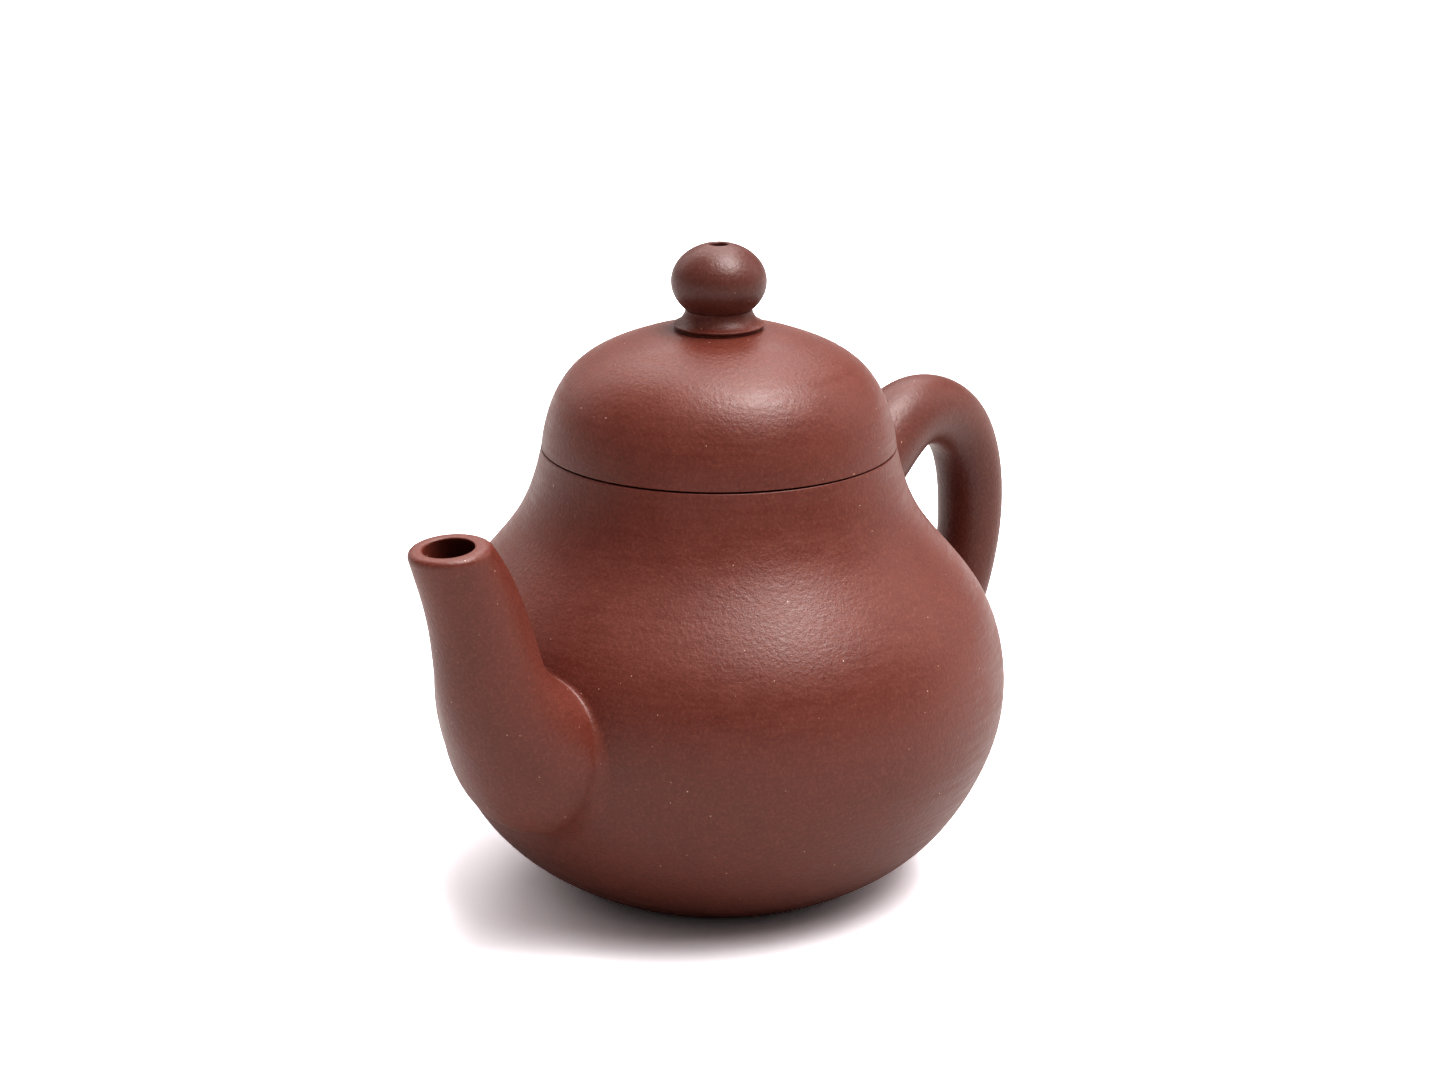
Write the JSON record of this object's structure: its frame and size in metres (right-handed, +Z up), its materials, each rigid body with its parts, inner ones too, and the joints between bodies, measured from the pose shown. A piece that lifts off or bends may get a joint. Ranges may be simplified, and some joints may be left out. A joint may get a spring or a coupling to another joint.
{
  "type": "clay teapot",
  "caption": "Small round-bellied teapot of unglazed red-brown clay, with a bulbous curved spout, an ear handle and a lift-off domed lid with a ball knob.",
  "frame": {"origin": "centre of the flat base, on the pot's axis of revolution", "axes": "+Z up along the axis of revolution, -X towards the spout, +X towards the handle"},
  "size_m": [0.0998, 0.0652, 0.0743],
  "materials": {
    "clay": "satin, unglazed, burnished"
  },
  "bodies": {
    "pot": {"body_wall": "clay", "neck_band": "clay", "base_slab": "clay", "spout": "clay", "ball_strainer": "clay", "spout_joint_slip": "clay", "handle": "clay", "handle_upper_joint_slip": "clay", "handle_lower_joint_slip": "clay"},
    "lid": {"lid_dome": "clay", "lid_plate": "clay", "lid_flange": "clay", "knob_collar": "clay", "knob_ball": "clay"}
  },
  "joints": [
    {"name": "lid_lift", "type": "slide", "parent": "pot", "child": "lid", "axis": [0, 0, 1], "range_m": [0, 0.04]}
  ]
}
